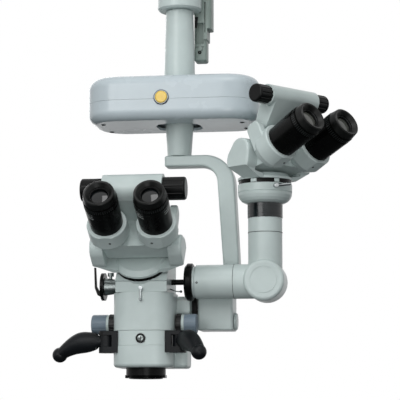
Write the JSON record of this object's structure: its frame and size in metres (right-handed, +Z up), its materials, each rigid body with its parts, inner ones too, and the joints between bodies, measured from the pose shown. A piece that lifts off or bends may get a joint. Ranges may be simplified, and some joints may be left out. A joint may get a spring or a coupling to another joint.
{
  "type": "surgical microscope",
  "caption": "Ceiling-hung surgical microscope head with inclined binocular, side observer binocular, focusing and tilting carrier, and a cross-slide pod on a column",
  "frame": {"origin": "centre of the arm sleeve's top mount face, on the column axis", "axes": "+Z up, +X to the right of the main viewer, -Y toward the main viewer"},
  "size_m": [0.4197, 0.2699, 0.558],
  "materials": {
    "paint_white": "satin",
    "pod_white": "gloss",
    "black_plastic": "matt",
    "black_anodised": "black anodised",
    "eyecup_rubber": "matt",
    "blue_grey_plastic": "satin",
    "gunmetal": "satin",
    "chrome": "polished",
    "steel": "ground",
    "aluminium": "machined",
    "yellow_plastic": "gloss",
    "lens_glass": "coated"
  },
  "bodies": {
    "arm": {"arm_sleeve": "paint_white", "arm_shell": "paint_white"},
    "column": {"column": "paint_white", "pod_upper_shell": "pod_white", "pod_lower_shell": "pod_white", "button_bezel": "chrome", "slide_frame": "steel"},
    "button": {"reset_button": "yellow_plastic"},
    "x_stage": {"x_carriage": "aluminium"},
    "y_stage": {"y_carriage": "aluminium"},
    "carrier": {"neck": "paint_white", "carrier_arm": "paint_white", "focus_housing": "paint_white"},
    "tilt_knob": {"tilt_knob": "paint_white"},
    "focus": {"focus_carriage": "black_anodised"},
    "head": {"head_bracket": "paint_white", "zoom_body": "paint_white", "handle_collar": "paint_white", "lower_body": "paint_white", "objective_ring": "black_anodised", "objective_lens": "lens_glass", "handle_hubs": "black_plastic", "beam_splitter": "paint_white", "camera_port": "gunmetal", "union_ring": "black_anodised", "main_lock_ring": "black_anodised", "main_bino_base": "paint_white"},
    "zoom_knobs": {"zoom_knobs": "blue_grey_plastic"},
    "left_handle": {"left_handle": "black_plastic"},
    "right_handle": {"right_handle": "black_plastic"},
    "camera_port_ring": {"camera_port_ring": "black_anodised"},
    "main_lock_lever": {"main_lock_lever": "chrome"},
    "observer_arm": {"observer_tube": "paint_white", "observer_elbow": "paint_white"},
    "observer_riser": {"observer_riser": "paint_white", "observer_receptacle": "paint_white", "observer_lock_ring": "black_anodised", "observer_bino_base": "paint_white"},
    "rotator_ring": {"rotator_ring": "black_anodised"},
    "observer_clamp_screw": {"observer_clamp_screw": "chrome"},
    "main_housing": {"main_housing": "paint_white"},
    "main_ipd_knobs": {"main_ipd_knobs": "black_plastic"},
    "main_left_tube": {"main_left_holder": "paint_white", "main_left_eyepiece": "black_anodised", "main_left_eyecup": "eyecup_rubber"},
    "main_left_diopter": {"main_left_diopter": "black_anodised"},
    "main_right_tube": {"main_right_holder": "paint_white", "main_right_eyepiece": "black_anodised", "main_right_eyecup": "eyecup_rubber"},
    "main_right_diopter": {"main_right_diopter": "black_anodised"},
    "observer_housing": {"observer_housing": "paint_white"},
    "observer_ipd_knobs": {"observer_ipd_knobs": "black_plastic"},
    "observer_left_tube": {"observer_left_holder": "paint_white", "observer_left_eyepiece": "black_anodised", "observer_left_eyecup": "eyecup_rubber"},
    "observer_left_diopter": {"observer_left_diopter": "black_anodised"},
    "observer_right_tube": {"observer_right_holder": "paint_white", "observer_right_eyepiece": "black_anodised", "observer_right_eyecup": "eyecup_rubber"},
    "observer_right_diopter": {"observer_right_diopter": "black_anodised"}
  },
  "joints": [
    {"name": "column_swivel", "type": "hinge", "parent": "arm", "child": "column", "pos_m": [0, 0, -0.06], "axis": [0, 0, 1], "range_deg": [-160, 160]},
    {"name": "reset_button_press", "type": "slide", "parent": "column", "child": "button", "axis": [0, 1, 0], "range_m": [0, 0.0025], "stiffness_N_per_m": 400},
    {"name": "stage_x", "type": "slide", "parent": "column", "child": "x_stage", "axis": [1, 0, 0], "range_m": [-0.01, 0.01]},
    {"name": "stage_y", "type": "slide", "parent": "x_stage", "child": "y_stage", "axis": [0, 1, 0], "range_m": [-0.01, 0.01]},
    {"name": "carrier_swivel", "type": "hinge", "parent": "y_stage", "child": "carrier", "pos_m": [0, 0, -0.19], "axis": [0, 0, 1], "range_deg": [-150, 150]},
    {"name": "tilt_knob_turn", "type": "hinge", "parent": "carrier", "child": "tilt_knob", "pos_m": [0.076, 0.008, -0.478], "axis": [1, 0, 0], "range_deg": [-70, 370]},
    {"name": "focus", "type": "slide", "parent": "carrier", "child": "focus", "axis": [0, 0, 1], "range_m": [-0.015, 0.015]},
    {"name": "head_tilt", "type": "hinge", "parent": "focus", "child": "head", "pos_m": [0.01, 0, -0.458], "axis": [1, 0, 0], "range_deg": [-5, 30]},
    {"name": "zoom_turn", "type": "hinge", "parent": "head", "child": "zoom_knobs", "pos_m": [-0.0385, -0.045, -0.484], "axis": [1, 0, 0], "range_deg": [-75, 75]},
    {"name": "left_handle_swing", "type": "hinge", "parent": "head", "child": "left_handle", "pos_m": [-0.0885, -0.072, -0.508], "axis": [0, 0, 1], "range_deg": [-10, 50]},
    {"name": "right_handle_swing", "type": "hinge", "parent": "head", "child": "right_handle", "pos_m": [0.0115, -0.072, -0.508], "axis": [0, 0, 1], "range_deg": [-5, 65]},
    {"name": "camera_ring_turn", "type": "hinge", "parent": "head", "child": "camera_port_ring", "pos_m": [-0.098, -0.045, -0.432], "axis": [1, 0, 0], "range_deg": [-30, 30]},
    {"name": "main_lock_turn", "type": "hinge", "parent": "head", "child": "main_lock_lever", "pos_m": [-0.0385, -0.088, -0.4375], "axis": [0, 1, 0], "range_deg": [-45, 45]},
    {"name": "observer_swing", "type": "hinge", "parent": "head", "child": "observer_arm", "pos_m": [0.0164, -0.045, -0.427], "axis": [1, 0, 0], "range_deg": [0, 70]},
    {"name": "observer_swivel", "type": "hinge", "parent": "observer_arm", "child": "observer_riser", "pos_m": [0.1255, -0.045, -0.361], "axis": [0, 0, 1], "range_deg": [-10, 45]},
    {"name": "rotator_turn", "type": "hinge", "parent": "observer_riser", "child": "rotator_ring", "pos_m": [0.1255, -0.045, -0.341], "axis": [0, 0, 1], "range_deg": [-60, 60]},
    {"name": "observer_clamp_turn", "type": "hinge", "parent": "observer_riser", "child": "observer_clamp_screw", "pos_m": [0.14099, -0.07414, -0.301], "axis": [0.4695, -0.8829, 0], "range_deg": [0, 360]},
    {"name": "main_bino_tilt", "type": "hinge", "parent": "head", "child": "main_housing", "pos_m": [-0.0407, -0.08607, -0.38443], "axis": [-1, 0, 0], "range_deg": [-15, 35]},
    {"name": "main_left_pupil", "type": "slide", "parent": "main_housing", "child": "main_left_tube", "axis": [1, 0, 0], "range_m": [-0.0035, 0.005]},
    {"name": "main_left_diopter_turn", "type": "hinge", "parent": "main_left_tube", "child": "main_left_diopter", "pos_m": [-0.0739, -0.18824, -0.3312], "axis": [0, -0.8572, 0.515], "range_deg": [-150, 150]},
    {"name": "main_right_pupil", "type": "slide", "parent": "main_housing", "child": "main_right_tube", "axis": [1, 0, 0], "range_m": [-0.005, 0.0035]},
    {"name": "main_right_diopter_turn", "type": "hinge", "parent": "main_right_tube", "child": "main_right_diopter", "pos_m": [-0.0075, -0.18824, -0.3312], "axis": [0, -0.8572, 0.515], "range_deg": [-150, 150]},
    {"name": "main_pupil_knob", "type": "hinge", "parent": "main_housing", "child": "main_ipd_knobs", "pos_m": [-0.0407, -0.13095, -0.30963], "axis": [1, 0, 0], "range_deg": [-140, 190]},
    {"name": "observer_bino_tilt", "type": "hinge", "parent": "observer_riser", "child": "observer_housing", "pos_m": [0.1255, -0.045, -0.269], "axis": [-0.6157, -0.788, 0], "range_deg": [-10, 20]},
    {"name": "observer_left_pupil", "type": "slide", "parent": "observer_housing", "child": "observer_left_tube", "axis": [0.6157, 0.788, 0], "range_m": [-0.0035, 0.005]},
    {"name": "observer_left_diopter_turn", "type": "hinge", "parent": "observer_left_tube", "child": "observer_left_diopter", "pos_m": [0.18923, -0.13692, -0.22581], "axis": [0.7112, -0.5557, 0.4305], "range_deg": [-150, 150]},
    {"name": "observer_right_pupil", "type": "slide", "parent": "observer_housing", "child": "observer_right_tube", "axis": [0.6157, 0.788, 0], "range_m": [-0.005, 0.0035]},
    {"name": "observer_right_diopter_turn", "type": "hinge", "parent": "observer_right_tube", "child": "observer_right_diopter", "pos_m": [0.23011, -0.0846, -0.22581], "axis": [0.7112, -0.5557, 0.4305], "range_deg": [-150, 150]},
    {"name": "observer_pupil_knob", "type": "hinge", "parent": "observer_housing", "child": "observer_ipd_knobs", "pos_m": [0.16272, -0.07408, -0.18221], "axis": [0.6157, 0.788, 0], "range_deg": [-140, 190]}
  ],
  "couplings": [
    {"joint": "tilt_knob_turn", "follows": "head_tilt", "ratio": 12},
    {"joint": "main_right_pupil", "follows": "main_left_pupil", "ratio": -1},
    {"joint": "main_pupil_knob", "follows": "main_left_pupil", "rad_per_m": 628},
    {"joint": "observer_right_pupil", "follows": "observer_left_pupil", "ratio": -1},
    {"joint": "observer_pupil_knob", "follows": "observer_left_pupil", "rad_per_m": 628}
  ]
}
